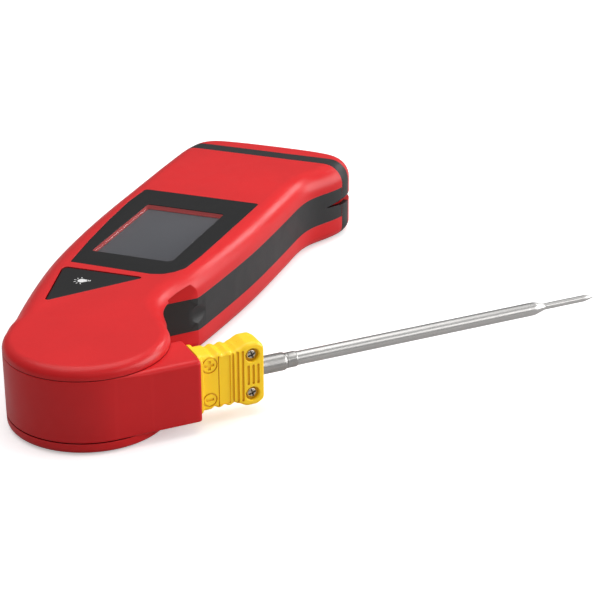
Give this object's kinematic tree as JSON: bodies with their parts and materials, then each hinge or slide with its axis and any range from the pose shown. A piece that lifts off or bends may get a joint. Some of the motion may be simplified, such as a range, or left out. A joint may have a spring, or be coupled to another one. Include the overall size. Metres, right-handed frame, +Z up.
{
  "type": "meat thermometer",
  "caption": "Folding pocket meat thermometer: flat handle with display, swinging hub arm, and a plug-in stainless needle probe.",
  "frame": {"origin": "on the arm pivot axis, at the level of the underside", "axes": "+X along the handle from the hub to the far end, +Y to the left of the handle seen from above with the hub near the viewer, +Z up out of the display face"},
  "size_m": [0.1792, 0.1508, 0.0243],
  "materials": {
    "red_shell": "satin moulded",
    "black_inlay": "fine moulded texture",
    "bezel_black": "satin",
    "clear_lens": "polished clear",
    "lcd_glass": "polished",
    "white_plastic": "moulded",
    "board_green": "solder mask",
    "chip_black": "moulded",
    "silicone": "soft",
    "seal_rubber": "soft",
    "key_black": "satin",
    "cell_wrap": "printed wrap",
    "spring_steel": "nickel plated",
    "screw_steel": "nickel plated",
    "post_grey": "glass filled",
    "bush_white": "acetal",
    "brass_clip": "plated",
    "socket_plastic": "glass filled",
    "plug_yellow": "moulded",
    "alloy_pin": "thermocouple alloy",
    "stainless": "ground",
    "wire_jacket": "extruded",
    "magnet": "nickel plated",
    "reed_glass": "glass"
  },
  "bodies": {
    "body": {"top_shell": "red_shell", "bottom_shell": "red_shell", "end_cap": "red_shell", "grip_frame": "black_inlay", "window_bezel": "bezel_black", "display_lens": "clear_lens", "lcd_panel": "lcd_glass", "lcd_holder": "white_plastic", "contact_strips": "silicone", "backlight_panel": "white_plastic", "main_board": "board_green", "meter_chips": "chip_black", "key_switch": "spring_steel", "board_screws": "screw_steel", "batteries": "cell_wrap", "contact_springs": "spring_steel", "contact_bridge": "spring_steel", "contact_plates": "spring_steel", "case_screws": "screw_steel", "pivot_post": "post_grey", "pivot_screw": "screw_steel", "friction_washer": "spring_steel", "upper_seal": "seal_rubber", "lower_seal": "seal_rubber", "reed_switch": "reed_glass", "board_leads": "wire_jacket"},
    "arm": {"arm_housing": "red_shell", "arm_cover": "red_shell", "arm_screws": "screw_steel", "arm_magnet": "magnet", "lower_bush": "bush_white", "upper_bush": "bush_white", "socket_block": "socket_plastic", "socket_clip_wide": "brass_clip", "socket_clip_narrow": "brass_clip", "arm_leads": "wire_jacket"},
    "probe": {"plug_front_half": "plug_yellow", "plug_back_half": "plug_yellow", "plug_screws": "screw_steel", "pin_wide": "alloy_pin", "pin_narrow": "alloy_pin", "crimp_ferrule": "stainless", "crimp_collar": "stainless", "probe_tube": "stainless", "probe_tip": "stainless", "thermocouple_wires": "alloy_pin"},
    "key": {"backlight_key": "key_black"},
    "door": {"battery_door": "red_shell", "door_screw": "screw_steel"}
  },
  "joints": [
    {"name": "arm_fold", "type": "hinge", "parent": "body", "child": "arm", "pos_m": [0, 0, 0.012], "axis": [0, 0, 1], "range_deg": [-135.59, 41.41]},
    {"name": "probe_pull", "type": "slide", "parent": "arm", "child": "probe", "axis": [0.7144, -0.6998, 0], "range_m": [0, 0.009]},
    {"name": "key_press", "type": "slide", "parent": "body", "child": "key", "axis": [0, 0, -1], "range_m": [0, 0.0006], "stiffness_N_per_m": 2500},
    {"name": "door_lift", "type": "slide", "parent": "body", "child": "door", "axis": [0, 0, -1], "range_m": [0, 0.006]}
  ]
}
